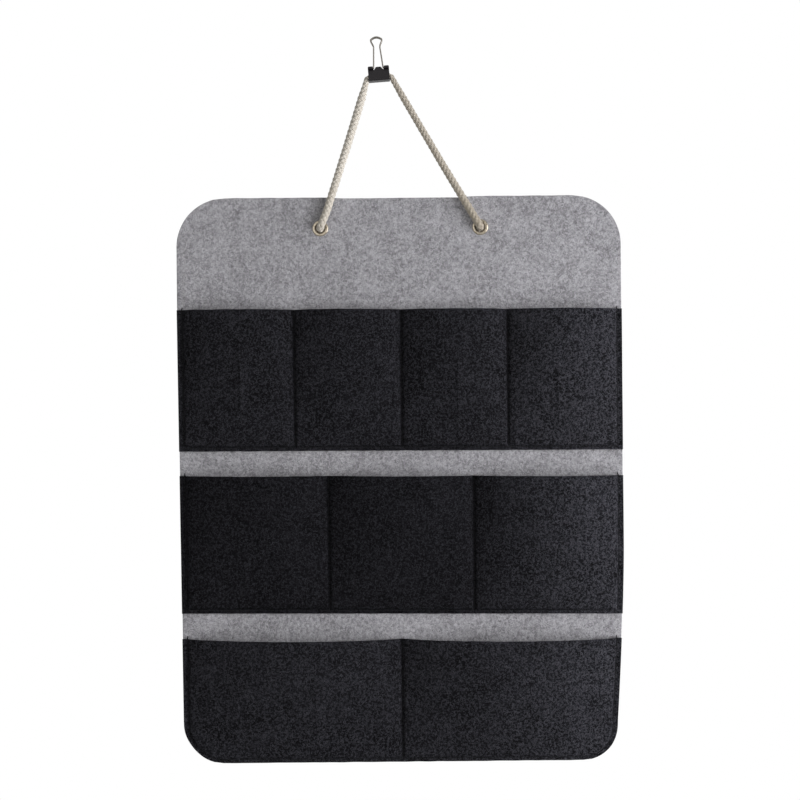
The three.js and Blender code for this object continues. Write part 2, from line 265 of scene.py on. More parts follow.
def felt_material(name, dark, light, dark_fibre, light_fibre, clouds, fineness, specular, roughness):
    """Pressed felt: a mottled ground, pale and dark fibres lying every way, a hairy surface. A
    piece's own "depth" is how much deeper it is dyed; on the charcoal strips this fades towards the right
    as painted light."""
    shader = Shader(name)
    cloud = shader.span(shader.noise(45, 3, 0.6), 0.3, 0.7, 0.06 - clouds, 0.06 + clouds)
    mottle = shader.span(shader.noise(420 * fineness, 3, 0.62, 0.6), 0.3, 0.7)
    grain = shader.span(shader.noise(950 * fineness, 2, 0.6), 0.25, 0.75)
    tone = shader.total((mottle, 0.55), (grain, 0.33), (cloud, 1.0))
    ground = shader.mix(tone, dark, light)
    deep = shader.fibres(340 * fineness, 0.065, 1.2, 12.9, 0.6)
    ground = shader.mix(shader.times(deep, 0.5), ground, dark_fibre)
    pale = shader.fibres(300 * fineness, 0.055, 1.6, 3.1, 0.5)
    finer_pale = shader.fibres(480 * fineness, 0.075, 1.4, 7.7, 0.4)
    fibres = shader.math("MAXIMUM", pale, shader.times(finer_pale, 0.8))
    colour = shader.mix(shader.times(fibres, 0.55), ground, light_fibre)
    # Darker by "depth": deeper dyed, and less so to the right as painted light
    colour = shader.mix(shader.attribute("depth"), colour, dark_fibre)
    fuzz = shader.noise(1500, 3, 0.7, 0.5)
    height = shader.total((fibres, 0.7), (fuzz, 0.8), (mottle, 0.6), (deep, -0.4))
    shader.finish(colour, roughness, (height, 0.6, 0.35 * MM), specular)


def thread_material():
    """Black polyester thread, twisted: fine slanting ridges along each stitch."""
    shader = Shader("sewing_thread")
    twist = shader.node("ShaderNodeTexWave", Vector=shader.place("UV"), Scale=3.0, Distortion=0.6)
    ridges = fitted(twist, bands_direction="DIAGONAL").outputs["Fac"]
    colour = shader.mix(ridges, srgb(12, 12, 13), srgb(36, 36, 39))
    shader.finish(colour, 0.55, (ridges, 0.6, 0.1 * MM), specular=0.12)


def brass_material():
    """Pale polished brass plate with faint tarnish and fine rubbing marks."""
    shader = Shader("eyelet_brass")
    tarnish = shader.span(shader.noise(420, 4, 0.6), 0.4, 0.75)
    rubbed = shader.noise(2600)
    colour = shader.mix(tarnish, srgb(160, 151, 136), srgb(112, 104, 88))
    roughness = shader.span(rubbed, 0.3, 0.7, 0.22, 0.36)
    shader.finish(colour, roughness, (rubbed, 0.12, 0.05 * MM), Metallic=1.0)


def cotton_material():
    """Natural cotton: strands of fine yarn, darker by a piece's own "depth": painted shade where strands
    dive under, on the core and on the rope's right leg, and real soiling near the eyelets.
    """
    shader = Shader("cotton_rope")
    yarn = shader.noise(1.0, 2, 0.5, 0.4, shader.place("UV", scale=(2.2, 14, 1)))
    tone = shader.span(shader.noise(300, 3, 0.6), 0.35, 0.7)
    colour = shader.mix(tone, srgb(222, 217, 206), srgb(210, 203, 190))
    colour = shader.mix(shader.times(yarn, 0.25), colour, srgb(192, 182, 166))
    # The depth colour: painted shade, and real soiling near the eyelets
    colour = shader.mix(shader.attribute("depth"), colour, srgb(150, 138, 118))
    shader.finish(colour, 0.9, (yarn, 0.7, 0.22 * MM), specular=0.2, Sheen_Weight=0.25)


def enamel_material():
    """Black baked enamel on the clip's sheet, with a faint ripple and specks of dust."""
    shader = Shader("black_clip_steel")
    ripple = shader.noise(700)
    dust = shader.span(shader.noise(1900, 3, 0.6), 0.62, 0.8)
    colour = shader.mix(shader.times(dust, 0.5), srgb(21, 17, 20), srgb(70, 64, 68))
    roughness = shader.span(ripple, 0.3, 0.7, 0.34, 0.5)
    shader.finish(colour, roughness, (ripple, 0.15, 0.06 * MM), specular=0.28)


def nickel_material():
    """Nickel plate on spring wire, with draw marks."""
    shader = Shader("nickel_wire")
    marks = shader.noise(1.0, 3, 0.6, 0.0, shader.place("UV", scale=(0.4, 9, 1)))
    colour = shader.mix(marks, srgb(128, 124, 117), srgb(92, 88, 82))
    roughness = shader.span(marks, 0.3, 0.7, 0.36, 0.5)
    shader.finish(colour, roughness, (marks, 0.15, 0.04 * MM), Metallic=1.0)


felt_material(
    "light_grey_felt", dark=srgb(121, 120, 122), light=srgb(185, 184, 188),
    dark_fibre=srgb(96, 95, 98), light_fibre=srgb(217, 216, 220),
    clouds=0.15, fineness=1.0, specular=0.1, roughness=0.9,
)
felt_material(
    "charcoal_felt", dark=srgb(17, 17, 18), light=srgb(41, 41, 45),
    dark_fibre=srgb(7, 7, 8), light_fibre=srgb(110, 110, 118),
    clouds=0.34, fineness=1.7, specular=0.02, roughness=0.8,
)
thread_material()
brass_material()
cotton_material()
enamel_material()
nickel_material()


# Mesh helpers


@contextmanager
def opened(mesh):
    """The mesh in a form that can be changed, written back at the end."""
    shape = bmesh.new()
    shape.from_mesh(mesh)
    yield shape
    shape.to_mesh(mesh)
    shape.free()


def add_object(name, data):
    made = bpy.data.objects.new(name, data)
    bpy.context.scene.collection.objects.link(made)
    return made


def add_mesh(name, vertices, faces, slot, uvs=None, depth=None):
    """A smooth piece in a slot's finish. uvs and depth hold one value for each vertex."""
    mesh = bpy.data.meshes.new(name)
    mesh.from_pydata([tuple(v) for v in vertices], [], [tuple(f) for f in faces])
    if uvs is not None:
        corners = np.zeros(len(mesh.loops), np.int32)
        mesh.loops.foreach_get("vertex_index", corners)
        layer = mesh.uv_layers.new(name="UVMap")
        layer.data.foreach_set("uv", np.asarray(uvs, np.float32)[corners].ravel())
    if depth is not None:
        attribute = mesh.attributes.new("depth", "FLOAT", "POINT")
        attribute.data.foreach_set("value", np.asarray(depth, np.float32))
    with opened(mesh) as shape:
        bmesh.ops.recalc_face_normals(shape, faces=shape.faces)
    mesh.shade_smooth()
    mesh.materials.append(materials[slot])
    piece = add_object(name, mesh)
    return piece


def mixed(a, b, share):
    return a + (b - a) * share


def eased(value, low, high):
    share = np.clip((value - low) / (high - low), 0, 1)
    return share * share * (3 - 2 * share)


def lengths_along(points):
    return np.cumsum([0, *np.linalg.norm(np.diff(points, axis=0), axis=1)])


def curve_through(points, step):
    """Points a step apart on a centripetal Catmull-Rom curve through the given points."""
    given = np.array(points, float)
    given = np.vstack([2 * given[0] - given[1], given, 2 * given[-1] - given[-2]])
    dense = []
    for i in range(len(given) - 3):
        p = given[i:i + 4]
        at = np.cumsum([0, *np.sqrt(np.linalg.norm(np.diff(p, axis=0), axis=1))])
        for t in np.linspace(at[1], at[2], 24, endpoint=False):
            a = [mixed(p[k], p[k + 1], (t - at[k]) / (at[k + 1] - at[k])) for k in range(3)]
            b = [mixed(a[k], a[k + 1], (t - at[k]) / (at[k + 2] - at[k])) for k in range(2)]
            dense.append(mixed(*b, (t - at[1]) / (at[2] - at[1])))
    dense.append(given[-2])
    return spaced(np.array(dense), step)


def spaced(points, step):
    """The same line with its points evenly spaced, about a step apart."""
    at = lengths_along(points)
    want = np.linspace(0, at[-1], max(2, int(round(at[-1] / step)) + 1))
    return np.stack([np.interp(want, at, points[:, k]) for k in range(3)], 1)


def unit(vectors):
    return vectors / np.maximum(np.linalg.norm(vectors, axis=-1, keepdims=True), 1e-12)


def frames_along(points):
    """Two directions across the line at each of its points. They never twist."""
    ahead = unit(np.gradient(points, axis=0))
    across = np.zeros_like(points)
    guess = np.array((0.0, 1.0, 0.0))
    for i, direction in enumerate(ahead):
        guess = guess - direction * np.dot(guess, direction)
        guess = guess / np.linalg.norm(guess)
        across[i] = guess
    return across, np.cross(ahead, across)


def joined(rings):
    """Faces that join each closed ring of vertex numbers to the next one."""
    faces = []
    for ring, after in zip(rings, rings[1:]):
        faces.extend(zip(ring, np.roll(ring, -1), np.roll(after, -1), after))
    return faces


def tube(points, half_width, half_thickness, outwards, sides):
    """Vertices, faces and UVs of a closed tube with an oval section whose thin way is outwards."""
    ahead = unit(np.gradient(points, axis=0))
    out = unit(outwards - ahead * np.sum(outwards * ahead, axis=1, keepdims=True))
    side = np.cross(ahead, out)
    turns = np.arange(sides) * 2 * math.pi / sides
    wide = np.broadcast_to(half_width, len(points))[:, None] * np.cos(turns)
    thick = np.broadcast_to(half_thickness, len(points))[:, None] * np.sin(turns)
    places = points[:, None] + wide[:, :, None] * side[:, None] + thick[:, :, None] * out[:, None]
    rings = np.arange(len(points) * sides).reshape(-1, sides).tolist()
    faces = [*joined(rings), rings[0][::-1], rings[-1]]
    along = np.repeat(lengths_along(points) / MM, sides)
    around = np.tile(turns / (2 * math.pi), len(points))
    return places.reshape(-1, 3), faces, np.stack([along, around], 1)


class Parts:
    """Several closed shapes collected into one mesh."""

    def __init__(self):
        self.rows = []
        self.faces = []
        self.count = 0

    def add(self, shape, depth=0.0):
        vertices, faces, uvs = shape
        self.rows.append((vertices, uvs, np.broadcast_to(depth, len(vertices))))
        self.faces.extend([i + self.count for i in face] for face in faces)
        self.count += len(vertices)

    def piece(self, name, slot):
        vertices, uvs, depths = map(np.concatenate, zip(*self.rows))
        return add_mesh(name, vertices, self.faces, slot, uvs, depths)


# Camera


def add_camera():
    camera = bpy.data.cameras.new("camera")
    viewer = add_object("camera", fitted(camera, sensor_width=36, lens=CAMERA_LENS, clip_start=0.01))
    level = Matrix.Rotation(math.radians(90), 4, "X")
    roll = Matrix.Rotation(math.radians(-CAMERA_ROLL), 4, "Z")
    place = Matrix.Translation((CAMERA_X, PANEL_FRONT - CAMERA_AWAY, CAMERA_Z))
    viewer.matrix_world = place @ level @ roll
    bpy.context.scene.camera = viewer


# Rope: its middle line from the left eyelet through the clip to the right one, in millimetres

ROPE_ROUTE = [
    (-51.7, -1.6, -170), (-45.6, -1.5, -155.4), (-40.9, -1.3, -140.8), (-36.1, -1.1, -126.1),
    (-31.4, -1, -111.5), (-26.7, -0.8, -96.9), (-22.1, -0.6, -82.3), (-17.5, -0.4, -67.6),
    (-13, -0.2, -53), (-10, 0, -42.6), (-9.35, 0, -39.9), (-8.85, 0, -38.2),
    (-8.2, 0, -37), (-7.25, 0, -36.2), (-6, 0, -35.7), (-2.14, 0, -35.29),
    (2.44, 0, -34.96), (7.03, 0, -34.64), (11.1, 0, -34.32), (12.1, 0, -34.45),
    (13, 0, -34.9), (13.8, 0, -35.65), (14.45, 0, -36.7), (15.7, 0, -38.9),
    (22.6, -0.2, -51.2), (31.1, -0.3, -66), (39.6, -0.5, -80.9), (48.2, -0.7, -95.7),
    (56.7, -0.9, -110.6), (65.4, -1.1, -125.4), (74.3, -1.3, -140.3), (83.2, -1.5, -155.2),
    (92.3, -1.6, -170),
]

# How it turns over an eyelet's rim into the bore, as y and the way up from the eyelet's middle
EYELET_TURN = [(-1.5, 4.8), (-0.7, 1.7), (1.6, 0.2), (4.6, 0)]


def rope_line():
    """The rope's centreline, with each end turned into its eyelet."""
    middle = [np.array(p) * MM for p in ROPE_ROUTE]
    ends = []
    for eyelet, above in ((middle[0], middle[1]), (middle[-1], middle[-2])):
        lean = (above[0] - eyelet[0]) / (above[2] - eyelet[2])
        ends.append([
            (eyelet[0] + up * MM * lean, y * MM, eyelet[2] + up * MM) for y, up in EYELET_TURN
        ])
    return curve_through([*reversed(ends[0]), *middle[1:-1], *ends[1]], ROPE_STEP)


def braid(line, squeeze=1.0, leg_shade_and_soil=0.0):
    """Strands worked over and under each other round a core. Painted shade darkens a strand where it dives
    under, and the core; the extra darkening given per point is painted shade on the right leg and real
    soiling near the eyelets.
    """
    parts = Parts()
    across, other = frames_along(line)
    turn = 2 * math.pi * lengths_along(line) / BRAID_LAY
    for hand in (1, -1):
        for strand in range(STRANDS):
            angle = hand * turn + strand * 2 * math.pi / STRANDS
            weave = hand * np.cos(STRANDS * turn)
            radius = squeeze * (BRAID_RADIUS + BRAID_WEAVE * weave)
            out = np.cos(angle)[:, None] * across + np.sin(angle)[:, None] * other
            shape = tube(
                line + radius[:, None] * out,
                squeeze * STRAND_WIDTH / 2, squeeze * STRAND_DEPTH / 2, out, STRAND_SIDES,
            )
            # Painted shade where the strand dives under, plus the extra painted shade and soiling given
            # per point
            shade = np.clip(-weave, 0, 1) * STRAND_SHADE + leg_shade_and_soil
            parts.add(shape, np.repeat(shade, STRAND_SIDES))
    core = squeeze * CORE_RADIUS
    # The core is darkened as painted shade
    parts.add(tube(line, core, core, across, STRAND_SIDES), CORE_SHADE)
    return parts


def add_rope():
    line = rope_line()
    x, z = line[:, 0], line[:, 2]
    slack = np.where(x < 0, ROPE_SLACK["left"], ROPE_SLACK["right"])
    squeeze = mixed(ROPE_SWELL, slack, eased(z, *SLACK_SPAN))
    squeeze = mixed(squeeze, ROPE_PINCH, eased(z, *PINCH_SPAN))
    # Painted shade darkens the right leg; real soiling tans the rope near the eyelets
    leg_shade_and_soil = ROPE_LEG_SHADE * eased(x, *LEG_SHADE_SPAN) + EYELET_SOIL * eased(-z, *EYELET_SOIL_SPAN)
    rope = braid(line, squeeze, leg_shade_and_soil).piece("hanging_rope_braid", "cotton_rope")
    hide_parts("hanging_rope")
    return rope, line


# Each knot is tied once over itself behind the panel. Its points run from the tail to the eyelet:
# right, up and back from the knot's middle, in millimetres.
KNOT_ROUTE = [
    (-2.2, -24, 0.6), (-2.6, -18.5, 0.9), (-3.6, -13, 1.2), (-5.4, -8.2, 1.8), (-5.4, -4.6, 2.6),
    (-3.6, -1.6, 3.1), (-1.4, 1, 0), (0.6, 3.2, -2.8), (4.4, 5.2, -1.6), (6.2, 2.6, 0.6),
    (4.6, -2.4, 3), (0, -5.2, 0.4), (-4.6, -2.6, -2.8), (-6.3, 2.4, -0.6), (-4.4, 5.3, 1.8),
    (-0.4, 3.4, 3.4), (2, 0.4, 0.2), (3, -1.6, -3.6), (1, -0.6, -6.4), (0, 0, -9.4),
]
KNOT_SQUEEZE = 0.92
KNOT_DEPTH = 14 * MM
KNOT_START = 1.6 * MM  # it joins the rope this far behind the panel's front


def add_knot(side):
    eyelet = EYELETS[side]
    _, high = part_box(f"rope_knot_{side}")
    middle = np.array((eyelet.x, high.y - KNOT_DEPTH / 2, eyelet.z))
    points = [middle + np.array((u, w, v)) * MM for u, v, w in KNOT_ROUTE]
    points.append((eyelet.x, PANEL_FRONT + KNOT_START, eyelet.z))
    line = curve_through(points, ROPE_STEP)
    parts = braid(line, KNOT_SQUEEZE)
    add_fray(parts, line[0])
    knot = parts.piece(f"rope_knot_{side}_tied", "cotton_rope")
    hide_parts(f"rope_knot_{side}")
    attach(knot, "panel")
    return knot


def add_fray(parts, end):
    for _ in range(FRAY_YARNS):
        angle = random.uniform(0, 2 * math.pi)
        reach = ROPE_DIAMETER / 2 * math.sqrt(random.random()) * 0.85
        spread = random.uniform(1.0, 1.5)
        drop = random.uniform(1.5, 4.2) * MM
        out = np.array((math.cos(angle), math.sin(angle), 0)) * reach
        points = np.array([
            end + out + (0, 0, 1.5 * MM),
            end + out * (1 + spread) / 2 - (0, 0, drop * 0.5),
            end + out * spread - (0, 0, drop),
        ])
        line = spaced(points, 0.8 * MM)
        across, _ = frames_along(line)
        parts.add(tube(line, YARN_RADIUS, YARN_RADIUS, across, 5))


add_camera()
hanging_rope, rope_points = add_rope()
knots = [add_knot(side) for side in SIDES]
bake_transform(hanging_rope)


# The felt's unevenness, which everything sewn to the panel shares


def ripples(x, z, length, seed):
    """A smooth unevenness from about -1 to 1: waves about a length long that run every way."""
    draw = random.Random(seed)
    total = np.zeros(np.shape(x))
    for _ in range(WAVES):
        way = draw.uniform(0, 2 * math.pi)
        pitch = 2 * math.pi / (length * draw.uniform(0.7, 1.5))
        start = draw.uniform(0, 2 * math.pi)
        total = total + np.sin(pitch * (x * math.cos(way) + z * math.sin(way)) + start)
    return total / math.sqrt(2 * WAVES)


def cut_waves(x, z):
    """How far up a sheet's unevenly cut edge stands at a place."""
    return ripples(x, z, 18 * MM, 13) * CUT_WAVE


def sway(x, z):
    """How far forwards the panel stands at a place."""
    lift = ripples(x, z, SWAY_LENGTH, 11) * SWAY + ripples(x, z, SWAY_LENGTH / 3, 12) * SWAY * 0.25
    for place in EYELETS.values():
        lift = lift * eased(np.hypot(x - place.x, z - place.z), *SWAY_STARTS)
    return lift


def drawn_in(x, z):
    """How far right a point of the flat layout stands, with the lower part drawn in."""
    foot = 1 - eased(z, *FOOT_SPAN)
    left, right = (
        amount * np.clip((start - z) / drop, 0, None) ** power + curl * foot
        for start, drop, amount, power, curl in (LEFT_DRAW, RIGHT_DRAW)
    )
    return PANEL_MIDDLE + x + np.abs(x) / HALF_PANEL * np.where(x < 0, left, -right)


def top_sag(x, z):
    """How far down the panel's top edge hangs at a place between the eyelets."""
    left, right = (EYELETS[side].x for side in SIDES)
    between = eased(x, left, left + SAG_EASE) * (1 - eased(x, right - SAG_EASE, right))
    return TOP_SAG * between * eased(z, panel_high.z - SAG_REACH, panel_high.z)


# Felt sheets


def grid_lines(low, high, step, spots):
    """Grid lines from low to high, closer together round each spot."""
    near = np.array([0, 0.35, 0.7, 1.1, 1.6, 2.3, 3.2]) * MM
    fine = np.concatenate([spot + way * near for spot in spots for way in (1, -1)])
    margin = 0.9 * MM
    fine = fine[(fine > low + margin) & (fine < high - margin)]
    coarse = np.linspace(low, high, max(2, int(round((high - low) / step)) + 1))
    clear = [c for c in coarse[1:-1] if np.min(np.abs(fine - c)) > step * 0.6]
    return np.unique(np.round(np.concatenate([[low, high], clear, fine]), 7))


def half_width(z, ends, corners):
    """Half the sheet's width at a height, with rounded corners at both ends."""
    half = np.full(np.shape(z), HALF_PANEL)
    for corner, reach in zip(corners, (z - ends[0], ends[1] - z)):
        inside = np.clip(corner - reach, 0, corner)
        half = half - corner + np.sqrt(np.maximum(corner ** 2 - inside ** 2, 0))
    return half


def narrowed(columns, half, corner):
    """Each row's grid columns: straight in the middle, and fitted into its width by the corners."""
    kept = HALF_PANEL - corner - 8 * MM
    beyond = np.clip(np.abs(columns) - kept, 0, None) / (HALF_PANEL - kept)
    inside = np.minimum(np.abs(columns), kept)
    return np.sign(columns) * (inside + beyond * (half[:, None] - kept))


def flat_grid(ends, corners, step, spots, heights):
    """A flat sheet's grid, closer together at its corners, its upright seams at spots and its level
    ones at heights. ends and corners give the lower one and the upper one."""
    columns = grid_lines(-HALF_PANEL, HALF_PANEL, step, spots)
    rows = grid_lines(*ends, step, heights)
    for end, corner, way in zip(ends, corners, (1, -1)):
        if corner:
            bend = end + way * np.arange(0, corner, CORNER_STEP)
            rest = rows[way * (rows - bend[-1]) > CORNER_STEP / 2]
            rows = np.unique(np.concatenate([bend, rest]))
    x = narrowed(columns, half_width(rows, ends, corners), max(*corners, 10 * MM))
    return x, np.repeat(rows[:, None], len(columns), axis=1)


def sheet_mesh(x, z, rear, front):
    """A closed sheet over a grid: two faces joined by a rounded cut edge all round."""
    grid = np.arange(x.size).reshape(x.shape)
    border = np.concatenate([grid[0], grid[1:, -1], grid[-1, -2::-1], grid[-2:0:-1, 0]])
    x, z, rear, front = (values.flatten() for values in (x, z, rear, front))
    rim = np.stack([x[border], z[border]], 1)
    along = np.roll(rim, -1, axis=0) - np.roll(rim, 1, axis=0)
    outward = unit(np.stack([along[:, 1], -along[:, 0]], 1))
    inner = rim - outward * CUT_EDGE
    x[border], z[border] = inner.T
    vertices = [np.stack([x, level, z], 1) for level in (front, rear)]
    quads = np.stack([grid[:-1, :-1], grid[:-1, 1:], grid[1:, 1:], grid[1:, :-1]], 2).reshape(-1, 4)
    faces = np.stack([quads, x.size + quads[:, [0, 3, 2, 1]]], 1).reshape(-1, 4).tolist()
    rings = [border]
    quarter = [math.radians(angle) for angle in (30, 60, 90)]
    steps = [(a, front, 1) for a in quarter] + [(a, rear, -1) for a in reversed(quarter)]
    for k, (angle, level, way) in enumerate(steps):
        spread = inner + outward * CUT_EDGE * math.sin(angle)
        depth = level[border] + way * CUT_EDGE * (1 - math.cos(angle))
        vertices.append(np.stack([spread[:, 0], depth, spread[:, 1]], 1))
        rings.append(2 * x.size + k * len(border) + np.arange(len(border)))
    rings.append(x.size + border)
    return np.vstack(vertices), faces + joined(rings)


class Strip:
    """A pocket strip's layout. It is sewn on a little askew: mouth_ends and foot_ends tell how far
    up its left and right ends lie, in millimetres. The last value is how much deeper it is dyed than the
    plain charcoal, before painted light pales it towards the right."""

    def __init__(self, name, dividers, corner, creases, mouth_ends, foot_ends, dye_and_painted_light):
        self.name = name
        self.corner = corner
        self.creases = creases
        self.mouth_ends = mouth_ends
        self.foot_ends = foot_ends
        self.dye_and_painted_light = dye_and_painted_light
        low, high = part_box(f"{name}_pocket_strip")
        self.mouth = high.z
        self.bottom = low.z
        self.foot = low.z + BOTTOM_INSET  # the height of its lowest seam
        self.bow = PANEL_FRONT - POCKET_FELT - low.y
        self.dividers = [seam_place(f"{name}_divider_seam_{k + 1}") for k in range(dividers)]
        self.turn = max(corner - SIDE_INSET, SEAM_TURN)

    def askew(self, x, z):
        """How far up a point of the flat layout moves as the strip is sewn on."""
        across = (x / HALF_PANEL + 1) / 2
        up = np.clip((z - self.bottom) / (self.mouth - self.bottom), 0, 1)
        return mixed(mixed(*self.foot_ends, across), mixed(*self.mouth_ends, across), up) * MM

    def placed(self, x, z):
        """Where a point of the flat layout stands."""
        world_z = z + self.askew(x, z)
        return drawn_in(x, world_z), world_z

    def seam_distance(self, x, z):
        """How far a point of the flat layout is from the nearest stitch line, and how far it is
        outside the edge seam."""
        qx = np.abs(x) - SEAM_HALF + self.turn
        qz = self.foot + self.turn - z
        inside = np.minimum(np.maximum(qx, qz), 0)
        outside = np.hypot(np.maximum(qx, 0), np.maximum(qz, 0))
        signed = inside + outside - self.turn
        nearest = np.abs(signed)
        for place in self.dividers:
            beside = np.abs(x - place)
            nearest = np.minimum(nearest, np.where(z > self.foot, beside, np.hypot(beside, z - self.foot)))
        return nearest, signed

    def folded(self, x, z):
        """How far the felt stands out at its upright creases."""
        height = np.zeros_like(x)
        for place, low, high in self.creases:
            run = eased(z, low, low + CREASE_EASE) * (1 - eased(z, high - CREASE_EASE, high))
            for rise, reach in CREASE_FORMS:
                height += rise * np.exp(-np.abs(x - place) / reach) * run
        return height

    def lift(self, x, z):
        """How far a pocket's felt stands off the panel."""
        nearest, signed = self.seam_distance(x, z)
        below = np.clip(self.foot + self.turn - z, 0, self.turn)
        side = SEAM_HALF - self.turn + np.sqrt(self.turn ** 2 - below ** 2)
        up = np.clip((z - self.foot) / (self.mouth - self.foot), 0, 1)
        rise = self.bow * np.sin(up * math.pi / 2)
        bounds = [-side, *self.dividers, side]
        shape = np.zeros_like(x)
        for left, right in zip(bounds, bounds[1:]):
            across = np.clip((x - left) / (right - left), 0, 1)
            shape += 1 - np.abs(2 * across - 1) ** FULLNESS
        soft = eased(nearest, 0, LIFT_OFF)
        puff = PUFF * eased(nearest, *PUFF_SPAN)
        return np.where(signed < 0, (rise * shape + self.folded(x, z)) * soft + puff, 0)


def seam_place(node):
    low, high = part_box(node)
    return (low.x + high.x) / 2 - PANEL_MIDDLE


def pressed(nearest):
    """How deep a seam presses the felt, from 1 on its line to 0 away from it."""
    return np.exp(-((nearest / GROOVE_HALF) ** 2))


def add_strip(strip):
    folds = [place for place, _, _ in strip.creases]
    spots = sorted([-SEAM_HALF, *strip.dividers, *folds, SEAM_HALF])
    x, z = flat_grid((strip.bottom, strip.mouth), (strip.corner, 0), STRIP_STEP, spots, [strip.foot])
    nearest, signed = strip.seam_distance(x, z)
    hem = np.clip(1 - signed / HEM_REACH, 0, 1) ** 0.8
    groove = GROOVE_DEPTH * np.where(signed > 0, hem, pressed(nearest))
    uneven = ripples(x, z, WAVE_LENGTH, strip.name) * eased(nearest, 0, 12 * MM) * POCKET_WAVE
    stand = strip.lift(x, z) + np.clip(uneven + STAND_OFF, 0, None) + FELT_GAP
    world_x, world_z = strip.placed(x, z)
    rear = PANEL_FRONT - sway(world_x, world_z) - stand
    front = rear - POCKET_FELT + groove
    vertices, faces = sheet_mesh(world_x, world_z + cut_waves(x, z), rear, front)
    # Painted light: the charcoal is painted paler towards the right, the side the light comes from
    dye_and_painted_light = strip.dye_and_painted_light * (1 - eased(vertices[:, 0], *PAINTED_LIGHT_SPAN))
    piece = add_mesh(f"{strip.name}_pocket_felt", vertices, faces, "charcoal_felt", depth=dye_and_painted_light)
    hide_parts(f"{strip.name}_pocket_strip")
    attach(piece, "panel")
    return piece


def add_panel(strips):
    spots = sorted({-SEAM_HALF, SEAM_HALF, *[d for strip in strips for d in strip.dividers]})
    x, z = flat_grid(
        (panel_low.z, panel_high.z), (BOTTOM_CORNER, TOP_CORNER), PANEL_STEP, spots,
        [strip.foot for strip in strips],
    )
    groove = np.zeros_like(x)
    for strip in strips:
        nearest, _ = strip.seam_distance(x, z - strip.askew(x, z))
        on_strip = (z > strip.bottom) & (z < strip.mouth)
        groove = np.maximum(groove, np.where(on_strip, REAR_GROOVE * pressed(nearest), 0))
    world_x = drawn_in(x, z)
    stand = sway(world_x, z)
    edge = cut_waves(x, z) - top_sag(world_x, z)
    vertices, faces = sheet_mesh(world_x, z + edge, PANEL_REAR - stand - groove, PANEL_FRONT - stand)
    panel = add_mesh("back_panel_felt", vertices, faces, "light_grey_felt", depth=0 * vertices[:, 0])
    for place in EYELETS.values():
        punch_hole(panel, place)
    panel.data.name = panel.name
    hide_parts("back_panel")
    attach(panel, "panel")
    return panel


def punch_hole(panel, place, radius=4.6 * MM, depth=30 * MM):
    mesh = bpy.data.meshes.new("punch")
    spot = Matrix.Translation((place.x, PANEL_FRONT, place.z)) @ Matrix.Rotation(math.pi / 2, 4, "X")
    with opened(mesh) as shape:
        bmesh.ops.create_cone(
            shape, cap_ends=True, segments=40, radius1=radius, radius2=radius, depth=depth, matrix=spot
        )
    punch = add_object("punch", mesh)
    cut = panel.modifiers.new("hole", "BOOLEAN")
    fitted(cut, operation="DIFFERENCE", object=punch, solver="EXACT")
    graph = bpy.context.evaluated_depsgraph_get()
    result = bpy.data.meshes.new_from_object(panel.evaluated_get(graph))
    panel.modifiers.clear()
    old, panel.data = panel.data, result
    bpy.data.meshes.remove(old)
    bpy.data.objects.remove(punch)
    bpy.data.meshes.remove(mesh)


# Each crease has a place across the panel, and the heights of its lower and upper end
TOP_CREASES = [(-143 * MM, -0.345, -0.262), (52 * MM, -0.37, -0.275), (141.5 * MM, -0.352, -0.275)]
MIDDLE_CREASES = [(-141.5 * MM, -0.502, -0.455)]
BOTTOM_CREASES = [(-78 * MM, -0.64, -0.575)]
strips = [
    Strip("top", 3, 0, TOP_CREASES, mouth_ends=(0.3, -1.4), foot_ends=(0.3, -1), dye_and_painted_light=0.52),
    Strip("middle", 2, 0, MIDDLE_CREASES, mouth_ends=(1.4, -1.2), foot_ends=(1.7, -1.5), dye_and_painted_light=0.68),
    Strip("bottom", 1, BOTTOM_CORNER, BOTTOM_CREASES, mouth_ends=(1.7, -0.6), foot_ends=(0, 0), dye_and_painted_light=0.42),
]
panel_felt = add_panel(strips)
strip_felts = [add_strip(strip) for strip in strips]


# Stitches


def edge_seam_line(strip):
    """The edge seam's line in the flat layout, down the left side, along the foot and up."""
    turn = strip.turn
    points = [(-SEAM_HALF, strip.mouth + SEAM_OVER)]
    for angle in math.pi + np.arange(13) * math.pi / 24:
        x, z = turn + turn * math.cos(angle), turn + turn * math.sin(angle)
        points.append((x - SEAM_HALF, z + strip.foot))
    points.extend((-x, z) for x, z in reversed(points[:]))
    return np.array([(x, 0, z) for x, z in points])


def divider_seam_line(strip, place):
    return np.array([(place, 0, strip.foot + 0.8 * MM), (place, 0, strip.mouth - SEAM_END)])


def seam_level(x, z, off_mouth, out):
    """The surface that a seam lies on: the pressed felt, and above the mouth the bare panel."""
    if out > 0:
        return PANEL_REAR - sway(x, z) - REAR_GROOVE * (1 - off_mouth)
    felt = POCKET_FELT - GROOVE_DEPTH + STAND_OFF + FELT_GAP
    return PANEL_FRONT - sway(x, z) - felt * (1 - off_mouth)


